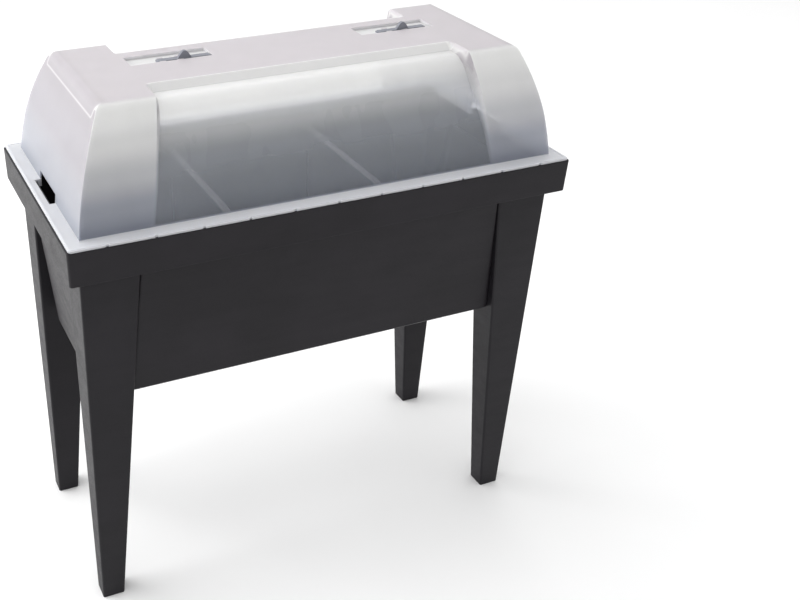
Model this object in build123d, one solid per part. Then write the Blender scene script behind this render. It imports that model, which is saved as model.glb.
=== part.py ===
from build123d import *
import os
import math

# ---------------------------------------------------------------------------
# Raised grow-table planter with a clear humidity dome lid.
# Units mm.  +X along the length, -Y is the front, +Z up.
# Origin: on the floor, at the centre of the four feet.
# ---------------------------------------------------------------------------

# ---- rim and tub ----------------------------------------------------------
RIM_L, RIM_W = 760.0, 368.0        # rim outline at its top edge
RIM_Z = 622.0                      # rim top face
SKIRT_H = 50.0                     # height of the hanging rim skirt
SKIRT_DRAFT = 1.3                  # skirt leans in by this much per side at its foot
SKIRT_T = 2.5                      # skirt wall
RIM_R = 4.5                        # outer corner of the rim
DECK_T = 3.0                       # flat top of the rim
LEDGE_Z = 577.0                    # inner ledge that the dividers stand over
LEDGE_T = 3.0
MOUTH_L, MOUTH_W = 725.0, 330.0    # opening inside the rim, at its top
WALL_T = 2.6
FLOOR_T = 3.0
TUB_BOT = 365.0                    # underside of the tub floor
BODY_TOP = 575.0

# half sizes (x, y) and corner radius of each tapering prism: top then bottom
FRONT_TOP, FRONT_BOT = (276.5, 163.0, 2.5), (300.0, 144.0, 12.0)   # long panels
END_TOP, END_BOT = (361.0, 95.5, 2.5), (340.0, 96.0, 22.0)         # end panels
POST_TOP, POST_BOT = (351.0, 153.0, 6.0), (325.0, 129.0, 12.0)     # set-back corners
FOOT_CHAMFER = 3.5                                                 # round-under at the tub floor

# ---- legs -----------------------------------------------------------------
LEG_TOP_Z = 574.0
LEG_X_IN_TOP, LEG_X_OUT_TOP = 277.8, 361.3
LEG_Y_IN_TOP, LEG_Y_OUT_TOP = 96.9, 163.0
LEG_X_IN_BOT, LEG_X_OUT_BOT = 321.9, 355.4
LEG_Y_IN_BOT, LEG_Y_OUT_BOT = 116.6, 147.6
LEG_T = 2.6
LEG_R = 3.0

# ---- dividers -------------------------------------------------------------
DIV_X = 121.0
DIV_T = 3.0
DIV_TOP = 585.0
DIV_CAP_W, DIV_CAP_T = 12.0, 3.0
DIV_GAP = 0.4
GUIDE_T, GUIDE_D = 2.2, 6.0

# ---- drain ----------------------------------------------------------------
DRAIN_R = 9.0
PLUG_R = 8.6
PLUG_FLANGE_R, PLUG_FLANGE_T = 14.0, 2.4
PLUG_GAP = 0.35

# ---- lid ------------------------------------------------------------------
LID_Z = 622.3                      # underside of the lid flange
FLANGE_T = 3.0
FLANGE_L, FLANGE_W = 755.0, 366.6
LID_T = 2.0
LIP_L, LIP_W, LIP_H = 722.0, 327.0, 8.0
ROOF_Z = 786.0
# half depth and half length of the dome at heights, from flange to roof
DOME_Z = [625.3, 641.0, 657.0, 673.0, 690.0, 706.0, 722.0, 738.0, 754.0, 770.0, 786.0]
DOME_Y = [161.7, 159.8, 157.5, 154.8, 151.6, 147.7, 143.0, 137.4, 130.7, 122.8, 114.0]
DOME_X = [357.8, 356.0, 353.5, 350.5, 346.8, 342.4, 337.4, 331.8, 325.5, 318.6, 311.0]
ROOF_END_R = 15.0
# the front and back of the dome outside the windows, rounded into the roof
ROUND_OUT = [(118.3, 778.4), (114.1, 783.2), (108.6, 786.0)]
ROUND_IN = [(116.5, 777.4), (112.6, 781.5), (107.2, 784.0)]
# sunk front and back windows
WIN_Y = [161.7, 158.3, 153.7, 147.4, 140.2, 133.2, 126.2, 118.6, 110.8, 103.4, 95.6, 86.0]
WIN_Z = [625.3, 645.0, 665.0, 685.0, 703.0, 720.0, 736.0, 751.0, 763.0, 770.4, 774.8, 776.0]
WIN_SHELF_Y = 76.5                 # foot of the sloping step in the roof
WIN_CREASE_Y = 66.5                # where the step meets the roof
WIN_X_BOT, WIN_X_TOP = 263.0, 233.0
WIN_RUN = 9.0                      # length of the sloping side walls of a window
# notches in the flange edge
NOTCH_N, NOTCH_PITCH, NOTCH_X0 = 11, 65.4, 0.0
NOTCH_W, NOTCH_D = 4.0, 1.7
# end hand slots
SLOT_Y = 42.0
SLOT_Z0, SLOT_Z1 = 613.0, 638.3
SLOT_X0, SLOT_X1 = 345.0, 365.6
# roof vents
VENT_X = 177.5
VENT_SHIFT = 10.0                  # both vents sit this much towards +X
VENT_L = 120.0
VENT_Y0, VENT_Y1 = 8.5, 44.5
VENT_DEPTH = 4.6
HOLE_X0, HOLE_X1 = 17.5, 47.0      # from the pocket centre
HOLE_Y0, HOLE_Y1 = 12.3, 18.7
SLIDE_L = 78.0
SLIDE_Y0, SLIDE_Y1 = 10.0, 25.0
SLIDE_T = 2.4
SLIDE_GAP = 0.35
SLIDE_REST_LEFT = 20.0             # slide centre from its pocket centre at rest
SLIDE_REST_RIGHT = 11.0
FIN_TOP = 796.0
FIN_Y0, FIN_Y1 = 12.8, 18.2
FIN_W = 27.0
HOOK_X = 13.0
HOOK_W = 9.0
HOOK_T = 1.2

os.makedirs("parts", exist_ok=True)


def slab(hx, hy, r, z):
    """Rounded rectangle face, half sizes hx and hy, at height z."""
    return Pos(0, 0, z) * RectangleRounded(2 * hx, 2 * hy, r)


def prism(top, bottom, z_top, z_bot, inset=0.0):
    """Tapering box between two rounded rectangles, each pulled in by inset."""
    a = slab(top[0] - inset, top[1] - inset, max(top[2] - inset, 0.8), z_top)
    b = slab(bottom[0] - inset, bottom[1] - inset, max(bottom[2] - inset, 0.8), z_bot)
    return loft([b, a], ruled=True)


def lerp(a, b, f):
    return tuple(p + (q - p) * f for p, q in zip(a, b))


def wall_prism(top, bottom, z_top, z_bot, inset=0.0):
    """A tub prism whose faces follow the full-height taper, cut to z_top..z_bot,
    ending in a small round-under at the foot when it is an outer one."""
    f_bot = (BODY_TOP - z_bot) / (BODY_TOP - TUB_BOT)
    f_top = (BODY_TOP - z_top) / (BODY_TOP - TUB_BOT)
    return prism(lerp(top, bottom, f_top), lerp(top, bottom, f_bot), z_top, z_bot, inset)


def body_outer():
    solids = []
    for top, bottom in ((FRONT_TOP, FRONT_BOT), (END_TOP, END_BOT), (POST_TOP, POST_BOT)):
        main = wall_prism(top, bottom, BODY_TOP, TUB_BOT + FOOT_CHAMFER)
        f = (BODY_TOP - TUB_BOT - FOOT_CHAMFER) / (BODY_TOP - TUB_BOT)
        mid = lerp(top, bottom, f)
        low = (mid[0] - FOOT_CHAMFER, mid[1] - FOOT_CHAMFER, max(mid[2] - 1.0, 1.0))
        foot = loft([slab(*low, TUB_BOT), slab(*mid, TUB_BOT + FOOT_CHAMFER)], ruled=True)
        solids.append(main + foot)
    return solids[0] + solids[1] + solids[2]


def body_inner():
    solids = []
    z0 = TUB_BOT + FLOOR_T
    for top, bottom in ((FRONT_TOP, FRONT_BOT), (END_TOP, END_BOT), (POST_TOP, POST_BOT)):
        main = wall_prism(top, bottom, BODY_TOP, z0 + 2.5, WALL_T)
        f = (BODY_TOP - z0 - 2.5) / (BODY_TOP - TUB_BOT)
        mid = lerp(top, bottom, f)
        mid_in = (mid[0] - WALL_T, mid[1] - WALL_T, max(mid[2] - WALL_T, 0.8))
        low = (mid_in[0] - 2.5, mid_in[1] - 2.5, mid_in[2])
        foot = loft([slab(*low, z0), slab(*mid_in, z0 + 2.5)], ruled=True)
        # the mouth of each prism runs straight up through the ledge
        tt = (top[0] - WALL_T, top[1] - WALL_T, max(top[2] - WALL_T, 0.8))
        neck = Pos(0, 0, BODY_TOP) * extrude(RectangleRounded(2 * tt[0], 2 * tt[1], tt[2]), 3.0)
        solids.append(main + foot + neck)
    return solids[0] + solids[1] + solids[2]


OUTER = body_outer()
INNER = body_inner()


def wall_y(z):
    """Half depth of the tub's inner wall at height z, on the long sides."""
    f = (BODY_TOP - z) / (BODY_TOP - TUB_BOT)
    return FRONT_TOP[1] + (FRONT_BOT[1] - FRONT_TOP[1]) * f - WALL_T


# ---------------------------------------------------------------------------
# Tub: panels, set-back corners, ledge, inverted-U rim, divider guides, drain
# ---------------------------------------------------------------------------
def make_tub():
    hl, hw = RIM_L / 2, RIM_W / 2
    z0 = RIM_Z - SKIRT_H
    rim = prism((hl, hw, RIM_R), (hl - SKIRT_DRAFT, hw - SKIRT_DRAFT, RIM_R), RIM_Z, z0)
    rim = fillet(rim.faces().sort_by(Axis.Z)[-1].edges(), 1.6)
    rim = fillet(rim.faces().sort_by(Axis.Z)[0].edges(), 0.9)
    f = (z0 - 1 - RIM_Z) / (z0 - RIM_Z)
    channel = prism((hl - SKIRT_T, hw - SKIRT_T, 2.2),
                    (hl - SKIRT_T - SKIRT_DRAFT * f, hw - SKIRT_T - SKIRT_DRAFT * f, 2.2),
                    RIM_Z - DECK_T, z0 - 1)
    ml, mw = MOUTH_L / 2, MOUTH_W / 2
    collar = prism((ml + 2.5, mw + 2.5, 6.0), (ml + 1.5, mw + 1.5, 6.0), RIM_Z - 0.5, LEDGE_Z - LEDGE_T)
    mouth = prism((ml + 0.05, mw + 0.05, 4.0), (ml - 1.0, mw - 1.0, 4.0), RIM_Z + 1.0, LEDGE_Z)
    shell = (rim - channel) + collar
    tub = shell + OUTER
    tub = tub - mouth - INNER
    # guide ribs either side of each divider, on both long walls
    for sx in (-1, 1):
        for side in (-1, 1):
            for e in (-1, 1):
                x0 = sx * DIV_X + e * (DIV_T / 2 + DIV_GAP)
                x1 = x0 + e * GUIDE_T
                z_lo, z_hi = TUB_BOT + FLOOR_T - 0.5, LEDGE_Z - 6.0
                pts = [(side * (wall_y(z_lo) + 1.2), z_lo), (side * (wall_y(z_lo) - GUIDE_D), z_lo),
                       (side * (wall_y(z_hi - 5) - GUIDE_D), z_hi - 5), (side * (wall_y(z_hi) - 1.0), z_hi),
                       (side * (wall_y(z_hi) + 1.2), z_hi)]
                face = make_face(Polyline([(0, p[0], p[1]) for p in pts], close=True))
                rib = extrude(face, amount=abs(x1 - x0), dir=(1, 0, 0))
                tub = tub + Pos(min(x0, x1), 0, 0) * rib
    # stiffening grid below the floor and a boss round the drain
    boss = Pos(0, 0, TUB_BOT - 1.0) * Cylinder(17.5, 1.0, align=(Align.CENTER, Align.CENTER, Align.MIN))
    boss = boss - Pos(0, 0, TUB_BOT - 2.0) * Cylinder(15.0, 4.0, align=(Align.CENTER, Align.CENTER, Align.MIN))
    tub = tub + boss
    tub = tub - Pos(0, 0, TUB_BOT - 5) * Cylinder(DRAIN_R, 20, align=(Align.CENTER, Align.CENTER, Align.MIN))
    return tub


# ---------------------------------------------------------------------------
# Leg: tapering hollow post, closed at the foot, whose upper part is an open
# channel that wraps the set-back corner of the tub and bears on the ledge
# ---------------------------------------------------------------------------
def leg_block(inset, z_lo):
    def sec(z):
        f = z / LEG_TOP_Z
        xi = LEG_X_IN_BOT + (LEG_X_IN_TOP - LEG_X_IN_BOT) * f + inset
        xo = LEG_X_OUT_BOT + (LEG_X_OUT_TOP - LEG_X_OUT_BOT) * f - inset
        yi = LEG_Y_IN_BOT + (LEG_Y_IN_TOP - LEG_Y_IN_BOT) * f + inset
        yo = LEG_Y_OUT_BOT + (LEG_Y_OUT_TOP - LEG_Y_OUT_BOT) * f - inset
        return Pos((xi + xo) / 2, (yi + yo) / 2, z) * RectangleRounded(xo - xi, yo - yi, max(LEG_R - inset, 0.6))
    top = LEG_TOP_Z + (5.0 if inset else 0.0)
    return loft([sec(z_lo), sec(top)], ruled=True)


def make_leg():
    outer = leg_block(0.0, 0.0)
    outer = fillet(outer.faces().sort_by(Axis.Z)[0].edges(), 1.6)
    leg = outer - leg_block(LEG_T, LEG_T)
    leg = leg - OUTER
    return leg


# ---------------------------------------------------------------------------
# Divider: thin plate that drops between the guide ribs, with a cap strip
# ---------------------------------------------------------------------------
def make_divider():
    z_lo = TUB_BOT + FLOOR_T + 2.6 + DIV_GAP
    z_ledge = LEDGE_Z + 0.4
    shoulder = MOUTH_W / 2 - 1.0 - 1.0
    pts = [(wall_y(z_lo) - DIV_GAP - 0.2, z_lo), (wall_y(z_ledge) - DIV_GAP - 0.1, z_ledge),
           (shoulder, z_ledge), (shoulder, DIV_TOP), (-shoulder, DIV_TOP), (-shoulder, z_ledge),
           (-(wall_y(z_ledge) - DIV_GAP - 0.1), z_ledge), (-(wall_y(z_lo) - DIV_GAP - 0.2), z_lo)]
    face = make_face(Polyline([(0, p[0], p[1]) for p in pts], close=True))
    plate = Pos(-DIV_T / 2, 0, 0) * extrude(face, amount=DIV_T, dir=(1, 0, 0))
    cap = Pos(0, 0, DIV_TOP - DIV_CAP_T) * Box(DIV_CAP_W, 2 * shoulder, DIV_CAP_T,
                                                align=(Align.CENTER, Align.CENTER, Align.MIN))
    cap = fillet(cap.edges().filter_by(Axis.Y).group_by(Axis.Z)[-1], 1.2)
    return plate + cap


# ---------------------------------------------------------------------------
# Drain plug, pushed in from below
# ---------------------------------------------------------------------------
def make_plug():
    up = (Align.CENTER, Align.CENTER, Align.MIN)
    z_f = TUB_BOT - PLUG_GAP - PLUG_FLANGE_T
    flange = Pos(0, 0, z_f) * Cylinder(PLUG_FLANGE_R, PLUG_FLANGE_T, align=up)
    flange = fillet(flange.faces().sort_by(Axis.Z)[0].edges(), 0.8)
    stem = Pos(0, 0, z_f + PLUG_FLANGE_T - 0.5) * Cylinder(PLUG_R, TUB_BOT + FLOOR_T - z_f - PLUG_FLANGE_T + 0.5, align=up)
    stem = chamfer(stem.faces().sort_by(Axis.Z)[-1].edges(), 0.7)
    tab = Pos(0, 0, z_f - 9.0) * Box(18.0, 3.2, 9.5, align=up)
    tab = fillet(tab.edges().filter_by(Axis.Y).group_by(Axis.Z)[0], 5.0)
    return flange + stem + tab


# ---------------------------------------------------------------------------
# Lid
# ---------------------------------------------------------------------------
def offset_curve(hs, zs, d):
    """Move a half-width curve inward by d along its normal."""
    out = []
    n = len(hs)
    for i in range(n):
        a, b = max(i - 1, 0), min(i + 1, n - 1)
        th, tz = hs[b] - hs[a], zs[b] - zs[a]
        ln = math.hypot(th, tz)
        out.append((hs[i] - tz / ln * d, zs[i] + th / ln * d))
    return out


def at_height(curve, z):
    """Half width of a curve of (h, z) points at height z, extended in line."""
    pts = sorted(curve, key=lambda p: p[1])
    for (h0, z0), (h1, z1) in zip(pts, pts[1:]):
        if z <= z1 or (h1, z1) == pts[-1]:
            return h0 + (h1 - h0) * (z - z0) / (z1 - z0)
    return pts[-1][0]


def spline_wire(points_a, rest):
    """One spline through points_a, then straight edges through rest, closed."""
    edges = [Spline(points_a)]
    last = points_a[-1]
    for p in rest:
        edges.append(Line(last, p))
        last = p
    return edges


def dome_solid(t):
    """The dome's outer volume (t = 0) or the space inside it (t = wall)."""
    z_base = DOME_Z[0] if t == 0 else DOME_Z[0] - 1.0
    z_roof = ROOF_Z - t
    ox = offset_curve(DOME_X, DOME_Z, t)
    zs = [z_base] + DOME_Z[1:-1] + [z_roof]
    oy = offset_curve(DOME_Y, DOME_Z, t)
    band = [(at_height(oy, z), z) for z in zs[:-1]] + (ROUND_IN if t else ROUND_OUT)
    endc = [(at_height(ox, z), z) for z in zs]
    # end shape, drawn in XZ and run through in Y
    pos = [(h, 0, z) for h, z in endc]
    neg = [(-h, 0, z) for h, z in reversed(endc)]
    edges = [Spline(pos), Line(pos[-1], neg[0]), Spline(neg), Line(neg[-1], pos[0])]
    face = make_face(edges)
    top = [v for v in face.vertices() if v.Z > z_roof - 1]
    face = fillet(top, ROOF_END_R - t)
    ends = Pos(0, 260, 0) * extrude(face, amount=520, dir=(0, -1, 0))

    # window curve
    wc = offset_curve(WIN_Y, WIN_Z, t)
    if t:
        low = [p for p in wc if p[1] > z_base + 4]
        win = [(at_height(wc, z_base), z_base)] + low
    else:
        win = wc
    z_shelf = win[-1][1]
    k = 0.41 * t
    y_shelf, y_crease = WIN_SHELF_Y - k - 0.2 * t, WIN_CREASE_Y - k

    def x_edge(z):
        return WIN_X_BOT + (WIN_X_TOP - WIN_X_BOT) * (z - DOME_Z[0]) / (ROOF_Z - DOME_Z[0])

    def band_wire(x_of):
        p = [(x_of(z), h, z) for h, z in band]
        q = [(x_of(z), -h, z) for h, z in reversed(band)]
        r = [(x_of(z_roof), y_shelf, z_roof), (x_of(z_roof), y_crease, z_roof),
             (x_of(z_roof), -y_crease, z_roof), (x_of(z_roof), -y_shelf, z_roof)]
        e = [Spline(p), Line(p[-1], r[0]), Line(r[0], r[1]), Line(r[1], r[2]),
             Line(r[2], r[3]), Line(r[3], q[0]), Spline(q), Line(q[-1], p[0])]
        return Wire(e)

    def win_wire(x_of):
        p = [(x_of(z), h, z) for h, z in win]
        q = [(x_of(z), -h, z) for h, z in reversed(win)]
        r = [(x_of(z_shelf), y_shelf, z_shelf), (x_of(z_roof), y_crease, z_roof),
             (x_of(z_roof), -y_crease, z_roof), (x_of(z_shelf), -y_shelf, z_shelf)]
        e = [Spline(p), Line(p[-1], r[0]), Line(r[0], r[1]), Line(r[1], r[2]), Line(r[2], r[3]),
             Line(r[3], q[0]), Spline(q), Line(q[-1], p[0])]
        return Wire(e)

    g = 0.41 * t
    blocks = []
    for s in (-1, 1):
        outer_w = band_wire(lambda z: s * (420.0))
        mid_w = band_wire(lambda z: s * (x_edge(z) + g))
        in_w = win_wire(lambda z: s * (x_edge(z) + g - WIN_RUN))
        blocks.append(Solid.make_loft([outer_w, mid_w], ruled=True) & ends)
        blocks.append(Solid.make_loft([mid_w, in_w], ruled=True))
    core = Solid.make_loft([win_wire(lambda z: -(x_edge(z) + g - WIN_RUN)),
                            win_wire(lambda z: (x_edge(z) + g - WIN_RUN))], ruled=True)
    out = core
    for b in blocks:
        out = out + b
    return out


def box_at(x0, x1, y0, y1, z0, z1):
    return Pos((x0 + x1) / 2, (y0 + y1) / 2, (z0 + z1) / 2) * Box(abs(x1 - x0), abs(y1 - y0), abs(z1 - z0))


def make_lid():
    floor_z = ROOF_Z - VENT_DEPTH
    outer = dome_solid(0.0)
    inner = dome_solid(LID_T)
    for s in (-1, 1):
        c = s * VENT_X + VENT_SHIFT
        pocket = box_at(c - VENT_L / 2, c + VENT_L / 2, VENT_Y0, VENT_Y1, floor_z, ROOF_Z + 5)
        pocket = fillet(pocket.edges().filter_by(Axis.Z), 2.0)
        under = box_at(c - VENT_L / 2 - LID_T, c + VENT_L / 2 + LID_T, VENT_Y0 - LID_T, VENT_Y1 + LID_T,
                       floor_z - LID_T, ROOF_Z + 5)
        outer = outer - pocket
        inner = inner - under
    up = (Align.CENTER, Align.CENTER, Align.MIN)
    flange = Pos(0, 0, LID_Z) * extrude(RectangleRounded(FLANGE_L, FLANGE_W, 5.0), FLANGE_T)
    flange = fillet(flange.faces().sort_by(Axis.Z)[-1].edges(), 0.9)
    lip = Pos(0, 0, LID_Z - LIP_H) * extrude(RectangleRounded(LIP_L, LIP_W, 5.0), LIP_H + 0.5)
    # low bead on the flange, just inside its edge
    bead = Pos(0, 0, LID_Z + FLANGE_T - 0.4) * extrude(
        RectangleRounded(FLANGE_L - 3.6, FLANGE_W - 3.6, 4.0) - RectangleRounded(FLANGE_L - 8.4, FLANGE_W - 8.4, 2.4), 1.2)
    lid = outer + flange + lip + bead
    hx, hy = at_height(offset_curve(DOME_X, DOME_Z, LID_T), DOME_Z[0]), at_height(offset_curve(DOME_Y, DOME_Z, LID_T), DOME_Z[0])
    well = Pos(0, 0, LID_Z - LIP_H - 1) * extrude(RectangleRounded(2 * hx, 2 * hy, 2.0), LIP_H + FLANGE_T + 1.2)
    lid = lid - inner - well
    # small notches along the front and back edges of the flange
    for s in (-1, 1):
        for i in range(NOTCH_N):
            x = (i - (NOTCH_N - 1) / 2) * NOTCH_PITCH + NOTCH_X0
            lid = lid - box_at(x - NOTCH_W / 2, x + NOTCH_W / 2, s * (FLANGE_W / 2 - NOTCH_D), s * (FLANGE_W / 2 + 3), LID_Z - 1, LID_Z + FLANGE_T + 2)
    # hand slots in both ends, cut through wall, flange and lip
    for s in (-1, 1):
        slot = box_at(s * SLOT_X0, s * SLOT_X1, -SLOT_Y, SLOT_Y, SLOT_Z0, SLOT_Z1)
        slot = fillet(slot.edges().filter_by(Axis.X), 1.5)
        lid = lid - slot
    # vent holes and the hooks that hold each slide down
    for s in (-1, 1):
        c = s * VENT_X + VENT_SHIFT
        lid = lid - fillet(box_at(c + HOLE_X0, c + HOLE_X1, HOLE_Y0, HOLE_Y1, floor_z - 6, floor_z + 2).edges().filter_by(Axis.Z), 2.0)
        for e in (-1, 1):
            xa, xb = c + e * HOOK_X - HOOK_W / 2, c + e * HOOK_X + HOOK_W / 2
            zt = floor_z + SLIDE_GAP + SLIDE_T + 0.45
            lid = lid + box_at(xa, xb, VENT_Y0 - 1.0, SLIDE_Y0 + 1.2, zt, zt + HOOK_T)
            lid = lid + box_at(xa, xb, SLIDE_Y1 + 0.5, SLIDE_Y1 + 2.3, floor_z - 0.5, zt + HOOK_T)
            lid = lid + box_at(xa, xb, SLIDE_Y1 - 1.0, SLIDE_Y1 + 1.0, zt, zt + HOOK_T)
    return lid


# ---------------------------------------------------------------------------
# Vent slide: flat shutter with a bell-shaped finger fin
# ---------------------------------------------------------------------------
def make_slide(rest_x):
    z0 = ROOF_Z - VENT_DEPTH + SLIDE_GAP
    plate = box_at(-SLIDE_L / 2, SLIDE_L / 2, SLIDE_Y0, SLIDE_Y1, z0, z0 + SLIDE_T)
    plate = chamfer(plate.edges().filter_by(Axis.Y).group_by(Axis.Z)[-1], 0.5)
    zb = z0 + SLIDE_T - 0.4
    h = FIN_TOP - zb
    half = FIN_W / 2
    pts = []
    n = 14
    for i in range(n + 1):
        u = -1 + 2 * i / n
        x = half * u
        z = zb + h * (0.5 + 0.5 * math.cos(math.pi * abs(u) ** 1.15)) * (1.0 if abs(u) < 1 else 0.0) + (0.0)
        pts.append((x, 0, max(z, zb)))
    face = make_face([Spline(pts), Line(pts[-1], pts[0])])
    fin = Pos(0, FIN_Y1, 0) * extrude(face, amount=FIN_Y1 - FIN_Y0, dir=(0, -1, 0))
    # low grip bar along the plate that the fin stands on
    bar = box_at(-SLIDE_L / 2 + 0.5, SLIDE_L / 2 - 0.5, FIN_Y0 - 0.8, SLIDE_Y1 - 2.5, z0 + SLIDE_T - 0.5, z0 + SLIDE_T + 1.5)
    bar = chamfer(bar.edges().filter_by(Axis.Y).group_by(Axis.Z)[-1], 0.5)
    return Pos(rest_x, 0, 0) * (plate + bar + fin)


def save(shape, name):
    if isinstance(shape, (list, ShapeList)):
        shape = Compound(children=list(shape))
    solids = shape.solids()
    out = solids[0] if len(solids) == 1 else Compound(children=list(solids))
    out.label = name
    export_step(out, "parts/" + name + ".step")


save(make_tub(), "tub")
leg = make_leg()
save(leg, "leg_back_right")
save(mirror(leg, about=Plane.XZ), "leg_front_right")
save(mirror(leg, about=Plane.YZ), "leg_back_left")
save(mirror(mirror(leg, about=Plane.YZ), about=Plane.XZ), "leg_front_left")
div = make_divider()
save(Pos(-DIV_X, 0, 0) * div, "divider_left")
save(Pos(DIV_X, 0, 0) * div, "divider_right")
save(make_plug(), "drain_plug")
save(make_lid(), "dome_lid")
save(make_slide(-VENT_X + VENT_SHIFT + SLIDE_REST_LEFT), "vent_slide_left")
save(make_slide(VENT_X + VENT_SHIFT + SLIDE_REST_RIGHT), "vent_slide_right")
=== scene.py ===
import math
import bpy
import bmesh
from mathutils import Matrix, Vector


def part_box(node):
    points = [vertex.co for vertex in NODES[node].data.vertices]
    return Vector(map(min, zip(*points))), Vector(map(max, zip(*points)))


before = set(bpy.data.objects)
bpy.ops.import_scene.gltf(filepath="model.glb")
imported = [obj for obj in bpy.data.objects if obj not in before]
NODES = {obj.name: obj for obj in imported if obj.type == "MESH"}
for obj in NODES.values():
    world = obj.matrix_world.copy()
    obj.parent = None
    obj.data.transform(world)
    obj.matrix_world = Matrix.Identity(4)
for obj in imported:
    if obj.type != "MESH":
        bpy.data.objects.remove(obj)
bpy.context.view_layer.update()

# ---------------------------------------------------------------- measures from the frame
RIM_LO, RIM_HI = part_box("tub")
LID_LO, LID_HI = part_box("dome_lid")
RIM_TOP = RIM_HI[2]                      # top of the tub's rim
ROOF_TOP = LID_HI[2]                     # roof of the dome
LID_TOP_OF_FLANGE = RIM_TOP + 0.0033     # upper face of the lid's flange


# ---------------------------------------------------------------- node helpers
class Mat:
    """A material with a Principled shader, and short ways to add nodes to it."""

    def __init__(self, name):
        self.m = bpy.data.materials.new(name)
        self.m.use_nodes = True
        self.nt = self.m.node_tree
        self.p = next(n for n in self.nt.nodes if n.type == "BSDF_PRINCIPLED")
        self.out = next(n for n in self.nt.nodes if n.type == "OUTPUT_MATERIAL")
        self.coord = self.nt.nodes.new("ShaderNodeTexCoord").outputs["Object"]

    def set(self, **values):
        for k, v in values.items():
            self.p.inputs[k.replace("_", " ")].default_value = v
        return self

    def link(self, a, b):
        self.nt.links.new(a, b)

    def _feed(self, node, i, v):
        if isinstance(v, bpy.types.NodeSocket):
            self.link(v, node.inputs[i])
        elif v is not None:
            node.inputs[i].default_value = v

    def math(self, op, a, b=None, c=None, clamp=False):
        n = self.nt.nodes.new("ShaderNodeMath")
        n.operation = op
        n.use_clamp = clamp
        for i, v in enumerate((a, b, c)):
            self._feed(n, i, v)
        return n.outputs[0]

    def step(self, v, lo, hi, a=0.0, b=1.0, smooth=True):
        n = self.nt.nodes.new("ShaderNodeMapRange")
        n.interpolation_type = "SMOOTHSTEP" if smooth else "LINEAR"
        n.clamp = True
        self._feed(n, 0, v)
        for i, x in zip((1, 2, 3, 4), (lo, hi, a, b)):
            self._feed(n, i, x)
        return n.outputs[0]

    def noise(self, scale, detail=3.0, rough=0.55, vec=None, stretch=None):
        vec = vec or self.coord
        if stretch:
            n = self.nt.nodes.new("ShaderNodeVectorMath")
            n.operation = "MULTIPLY"
            self.link(vec, n.inputs[0])
            n.inputs[1].default_value = stretch
            vec = n.outputs[0]
        n = self.nt.nodes.new("ShaderNodeTexNoise")
        n.inputs["Scale"].default_value = scale
        n.inputs["Detail"].default_value = detail
        n.inputs["Roughness"].default_value = rough
        self.link(vec, n.inputs["Vector"])
        return n.outputs[0]

    def mix(self, fac, a, b, blend="MIX"):
        n = self.nt.nodes.new("ShaderNodeMix")
        n.data_type = "RGBA"
        n.blend_type = blend
        ins = [s for s in n.inputs if s.enabled]
        for s, v in zip(ins, (fac, a, b)):
            if isinstance(v, bpy.types.NodeSocket):
                self.link(v, s)
            elif hasattr(v, "__len__"):
                s.default_value = (*v, 1.0) if len(v) == 3 else v
            else:
                s.default_value = v
        return next(s for s in n.outputs if s.enabled)

    def bump(self, height, strength, distance, normal=None):
        n = self.nt.nodes.new("ShaderNodeBump")
        n.inputs["Strength"].default_value = strength
        n.inputs["Distance"].default_value = distance
        self.link(height, n.inputs["Height"])
        if normal is not None:
            self.link(normal, n.inputs["Normal"])
        return n.outputs[0]

    def xyz(self):
        n = self.nt.nodes.new("ShaderNodeSeparateXYZ")
        self.link(self.coord, n.inputs[0])
        return n.outputs

    def normal_xyz(self):
        g = self.nt.nodes.new("ShaderNodeNewGeometry")
        n = self.nt.nodes.new("ShaderNodeSeparateXYZ")
        self.link(g.outputs["True Normal"], n.inputs[0])
        return n.outputs


def anthracite(name, base=(0.0096, 0.0084, 0.0107), grain=1.0, highlight_cap=None):
    """Injection-moulded polypropylene: a fine matt grain and faint flow marks."""
    m = Mat(name)
    fine = m.noise(2600.0, 2.0, 0.6)
    mid = m.noise(420.0, 4.0, 0.6)
    broad = m.noise(9.0, 3.0, 0.5)
    flow = m.noise(34.0, 4.0, 0.6, stretch=(0.35, 1.0, 2.2))
    dark = tuple(c * 0.86 for c in base)
    light = tuple(c * 1.24 for c in base)
    col = m.mix(m.step(broad, 0.3, 0.7), dark, light)
    col = m.mix(m.step(fine, 0.35, 0.75, 0.0, 0.35), col, tuple(c * 2.0 for c in base))
    col = m.mix(m.step(flow, 0.62, 0.85, 0.0, 0.12), col, (0.035, 0.034, 0.038))
    if highlight_cap is not None:
        # painted highlight: the divider's top strip is painted lighter than the plate, standing in for the light on
        # its top edge as seen through the window
        col = m.mix(m.step(m.xyz()[2], highlight_cap - 0.0016, highlight_cap - 0.0004), col, (0.125, 0.123, 0.132))
    m.link(col, m.p.inputs["Base Color"])
    rough = m.math("ADD", m.step(mid, 0.25, 0.75, 0.44, 0.54), m.step(flow, 0.3, 0.8, -0.03, 0.05))
    m.link(rough, m.p.inputs["Roughness"])
    b = m.bump(fine, 0.22 * grain, 0.00022)
    b = m.bump(mid, 0.10 * grain, 0.0006, b)
    m.link(b, m.p.inputs["Normal"])
    m.set(Specular_IOR_Level=0.215)
    return m.m


def vent_plastic(name):
    """Blue-grey satin plastic of the vent slides and the plug."""
    m = Mat(name)
    fine = m.noise(3200.0, 2.0, 0.6)
    mid = m.noise(160.0, 3.0, 0.5)
    col = m.mix(m.step(mid, 0.3, 0.7), (0.185, 0.192, 0.222), (0.225, 0.232, 0.262))
    m.link(col, m.p.inputs["Base Color"])
    m.link(m.step(mid, 0.2, 0.8, 0.50, 0.60), m.p.inputs["Roughness"])
    m.link(m.bump(fine, 0.15, 0.0002), m.p.inputs["Normal"])
    m.set(Specular_IOR_Level=0.3)
    return m.m


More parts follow.
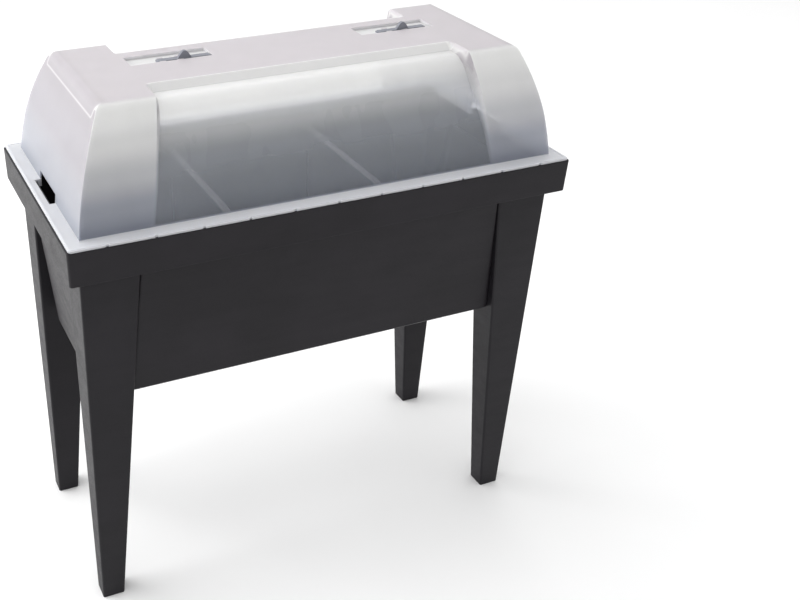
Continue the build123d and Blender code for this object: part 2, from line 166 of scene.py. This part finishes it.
def dome_plastic(name):
    """Thin translucent plastic: frosted lavender white on the roof and ends, whiter on the corner bands, and polished
    and clearer in the sunk windows. Painted shade darkens the foot of the bands and windows and the end walls; painted
    light brightens the window's riser and the vent pockets.
    """
    m = Mat(name)
    x, y, z = m.xyz()
    nx, ny, nz = m.normal_xyz()
    ax = m.math("ABSOLUTE", x)
    ay = m.math("ABSOLUTE", y)
    fine = m.noise(2100.0, 2.0, 0.6)
    mid = m.noise(26.0, 2.0, 0.5, stretch=(1.0, 1.0, 0.25))
    cloud = m.noise(6.0, 2.0, 0.5)

    def inv(v):
        return m.math("SUBTRACT", 1.0, v)

    def both(a, b):
        return m.math("MULTIPLY", a, b)

    def ramp(stops):
        n = m.nt.nodes.new("ShaderNodeValToRGB")
        n.color_ramp.interpolation = "EASE"
        el = n.color_ramp.elements
        while len(el) < len(stops):
            el.new(0.5)
        for e, (p, v) in zip(el, stops):
            e.position = p
            v = v if isinstance(v, tuple) else (v, v, v)
            e.color = (*v, 1.0)
        m.link(m.step(z, 0.6253, 0.786, smooth=False), n.inputs[0])
        return n.outputs[0]

    def blend(f, a, b):
        return m.math("ADD", both(f, b), both(inv(f), a))

    # the sunk window: inside its slanting sides and below its upper crease
    edge_x = m.step(z, 0.786, 0.6253, 0.2335, 0.2630, smooth=False)
    inside = m.step(m.math("SUBTRACT", edge_x, ax), 0.0005, 0.0085)
    window = both(both(inside, m.step(ay, 0.066, 0.074)), m.step(z, 0.6264, 0.6290))
    roof = both(both(m.step(ay, 0.1150, 0.1075), m.step(z, 0.766, 0.771)), inv(window))
    flange = m.step(z, 0.6268, 0.6262)
    end = both(m.step(m.math("ABSOLUTE", nx), 0.72, 0.90), inv(roof))
    flat = m.math("MAXIMUM", m.math("MAXIMUM", roof, end), flange)
    # painted light: the riser under the window's upper crease is painted lighter and made nearly opaque, so it does
    # not shade darker than the roof
    painted_light_riser = both(both(m.step(z, 0.7762, 0.7775), m.step(ay, 0.0640, 0.0655)), both(m.step(ay, 0.0790, 0.0775), inside))
    # how milky: alpha of one face of the wall
    a_win = ramp([(0.0, 0.140), (0.25, 0.165), (0.52, 0.225), (0.72, 0.37), (0.92, 0.66)])
    a_band = ramp([(0.0, 0.46), (0.22, 0.50), (0.48, 0.62), (0.72, 0.76), (0.93, 0.90)])
    a_end = ramp([(0.0, 0.60), (0.22, 0.68), (0.5, 0.78), (0.8, 0.88), (1.0, 0.92)])
    a_flat = blend(flange, blend(roof, a_end, m.step(z, 0.60, 0.70, 0.9, 0.92)), m.step(z, 0.6245, 0.6252, 0.55, 0.80))
    alpha = blend(flat, blend(window, a_band, a_win), a_flat)
    alpha = blend(painted_light_riser, alpha, 0.93)
    alpha = m.math("ADD", alpha, m.step(cloud, 0.3, 0.7, -0.010, 0.010), clamp=True)
    m.link(alpha, m.p.inputs["Alpha"])
    # colour: faint lavender where frosted; the bands and windows are painted darker and bluer towards the thin clear
    # foot, a painted shade standing in for the dark tub inside seen through the wall
    tone = m.step(mid, 0.3, 0.7, 0.985, 1.015)
    col_band = ramp([(0.0, (0.33, 0.355, 0.425)), (0.20, (0.41, 0.43, 0.49)), (0.45, (0.60, 0.605, 0.635)), (0.70, (0.80, 0.80, 0.81)), (0.92, (0.86, 0.86, 0.86))])
    col_win = ramp([(0.0, (0.60, 0.645, 0.745)), (0.45, (0.63, 0.665, 0.735)), (0.68, (0.76, 0.775, 0.80)), (0.88, (0.86, 0.86, 0.86))])
    # painted shade: the end walls, picked by which way they face, get a darker copy of the roof's frosted colour,
    # bluer towards the foot; the roof blends into it near the ends
    col_end_painted_shade = ramp([(0.0, (0.405, 0.427, 0.487)), (0.25, (0.418, 0.423, 0.465)), (0.55, (0.400, 0.384, 0.414)), (0.95, (0.365, 0.344, 0.366))])
    col_band = m.mix(1.0, col_band, (0.95, 0.95, 0.95), "MULTIPLY")
    col = m.mix(window, col_band, col_win)
    col_roof = m.mix(m.step(ax, 0.292, 0.322), (0.520, 0.488, 0.515), col_end_painted_shade)
    col_f = m.mix(flange, m.mix(roof, col_end_painted_shade, col_roof), (0.70, 0.71, 0.755))
    col = m.mix(flat, col, col_f)
    # painted light: the vent pockets are painted lighter than the roof, lifting the shade inside these recesses
    vx = m.math("ABSOLUTE", m.math("SUBTRACT", x, 0.010))
    painted_light_pocket = both(m.step(vx, 0.1165, 0.1180), m.step(vx, 0.2385, 0.2370))
    painted_light_pocket = both(painted_light_pocket, both(m.step(y, 0.0075, 0.0090), m.step(y, 0.0455, 0.0440)))
    painted_light_pocket = both(painted_light_pocket, both(m.step(z, 0.7765, 0.7775), m.step(z, 0.7858, 0.7850)))
    col = m.mix(painted_light_pocket, col, (0.68, 0.68, 0.69))
    col = m.mix(painted_light_riser, col, (0.72, 0.715, 0.72))
    col = m.mix(1.0, col, tone, "MULTIPLY")
    m.link(col, m.p.inputs["Base Color"])
    rough = m.math("ADD", both(window, m.step(z, 0.735, 0.760, -0.19, 0.02)), m.step(mid, 0.2, 0.8, 0.45, 0.48))
    m.link(rough, m.p.inputs["Roughness"])
    m.link(m.bump(fine, 0.10, 0.00015), m.p.inputs["Normal"])
    m.set(Subsurface_Weight=0.5, Subsurface_Scale=1.0, Subsurface_Radius=(0.010, 0.010, 0.011))
    return m.m


def give(node, material):
    o = NODES[node]
    for s in o.material_slots:
        s.material = material
    return o


def soften(node, width, segments=2, angle=28.0):
    """Joins the split edges of a CAD node and rounds its sharp ones, as moulded plastic is."""
    o = NODES[node]
    w = o.modifiers.new("join", "WELD")
    w.merge_threshold = 0.00002
    b = o.modifiers.new("soft_edges", "BEVEL")
    b.width = width
    b.segments = segments
    b.limit_method = "ANGLE"
    b.angle_limit = math.radians(angle)
    b.use_clamp_overlap = True
    n = o.modifiers.new("even_shading", "WEIGHTED_NORMAL")
    n.weight = 50
    return o


PP = anthracite("anthracite_pp")
PP_LEG = anthracite("anthracite_pp_leg", base=(0.0090, 0.0080, 0.0102))
PP_DIV = anthracite("anthracite_pp_divider", base=(0.0150, 0.0140, 0.0165), highlight_cap=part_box("divider_left")[1][2])
VENT = vent_plastic("vent_blue_grey")
DOME = dome_plastic("dome_translucent")

give("tub", PP)
for leg in ("leg_front_left", "leg_front_right", "leg_back_left", "leg_back_right"):
    give(leg, PP_LEG)
for d in ("divider_left", "divider_right"):
    give(d, PP_DIV)
give("drain_plug", VENT)
give("vent_slide_left", VENT)
give("vent_slide_right", VENT)
give("dome_lid", DOME)

soften("tub", 0.0007)
for leg in ("leg_front_left", "leg_front_right", "leg_back_left", "leg_back_right"):
    soften(leg, 0.0006)
soften("dome_lid", 0.0006)
for n in ("vent_slide_left", "vent_slide_right", "divider_left", "divider_right", "drain_plug"):
    soften(n, 0.0004)

# ---------------------------------------------------------------- floor, light, camera
fm = Mat("floor_white")
fn = fm.noise(1.7, 3.0, 0.5)
fm.link(fm.mix(fm.step(fn, 0.3, 0.7), (0.93, 0.93, 0.93), (0.95, 0.95, 0.95)), fm.p.inputs["Base Color"])
fm.set(Roughness=0.9, Specular_IOR_Level=0.1)
me = bpy.data.meshes.new("floor")
bm = bmesh.new()
N = 24
R = 14.0
grid = [[bm.verts.new((-R + 2 * R * i / N, -R + 2 * R * j / N, 0.0)) for i in range(N + 1)] for j in range(N + 1)]
for j in range(N):
    for i in range(N):
        bm.faces.new((grid[j][i], grid[j][i + 1], grid[j + 1][i + 1], grid[j + 1][i]))
bm.to_mesh(me)
bm.free()
floor = bpy.data.objects.new("floor", me)
floor.data.materials.append(fm.m)
bpy.context.scene.collection.objects.link(floor)

world = bpy.data.worlds.new("studio")
bpy.context.scene.world = world
world.use_nodes = True
bg = next(n for n in world.node_tree.nodes if n.type == "BACKGROUND")
# soft box all round, brightest behind to the left and quieter in front
wt = world.node_tree
tc = wt.nodes.new("ShaderNodeTexCoord")
dot = wt.nodes.new("ShaderNodeVectorMath")
dot.operation = "DOT_PRODUCT"
wt.links.new(tc.outputs["Generated"], dot.inputs[0])
dot.inputs[1].default_value = (-0.42, 0.88, 0.20)
wr = wt.nodes.new("ShaderNodeMapRange")
wr.interpolation_type = "SMOOTHSTEP"
wr.inputs[1].default_value = -0.8
wr.inputs[2].default_value = 0.8
wr.inputs[3].default_value = 0.84
wr.inputs[4].default_value = 1.04
wt.links.new(dot.outputs["Value"], wr.inputs[0])
bg.inputs["Color"].default_value = (1.0, 1.0, 1.0, 1.0)
wt.links.new(wr.outputs[0], bg.inputs["Strength"])


def area(name, loc, target, size, power, colour=(1, 1, 1)):
    light = bpy.data.lights.new(name, "AREA")
    light.shape = "RECTANGLE"
    light.size, light.size_y = size
    light.energy = power
    light.color = colour
    o = bpy.data.objects.new(name, light)
    bpy.context.scene.collection.objects.link(o)
    d = Vector(target) - Vector(loc)
    o.location = loc
    o.rotation_euler = d.to_track_quat("-Z", "Y").to_euler()
    return o


area("key_top", (-0.6, 0.5, 3.2), (0.0, 0.0, 0.5), (3.0, 2.4), 26.0)
area("left_wall", (-3.0, 1.3, 1.6), (-0.7, 0.7, 0.1), (3.0, 2.0), 84.0)

cam = bpy.data.cameras.new("camera")
cam.sensor_width = 36.0
cam.lens = 50.49
cam.shift_x = 0.2084
cam.shift_y = -0.0898
cam.clip_end = 60.0
co = bpy.data.objects.new("camera", cam)
bpy.context.scene.collection.objects.link(co)
back = Vector((-0.3394, -0.8203, 0.4605)).normalized()
right = Vector((0.924, -0.3824, -0.0003))
right = (right - back * right.dot(back)).normalized()
up = back.cross(right)
rot = Matrix((right, up, back)).transposed()
co.matrix_world = Matrix.Translation((-0.6553, -1.3903, 1.2926)) @ rot.to_4x4()
bpy.context.scene.camera = co

vs = bpy.context.scene.view_settings
vs.view_transform = "Standard"
vs.look = "None"
vs.exposure = 0.0
vs.gamma = 1.0
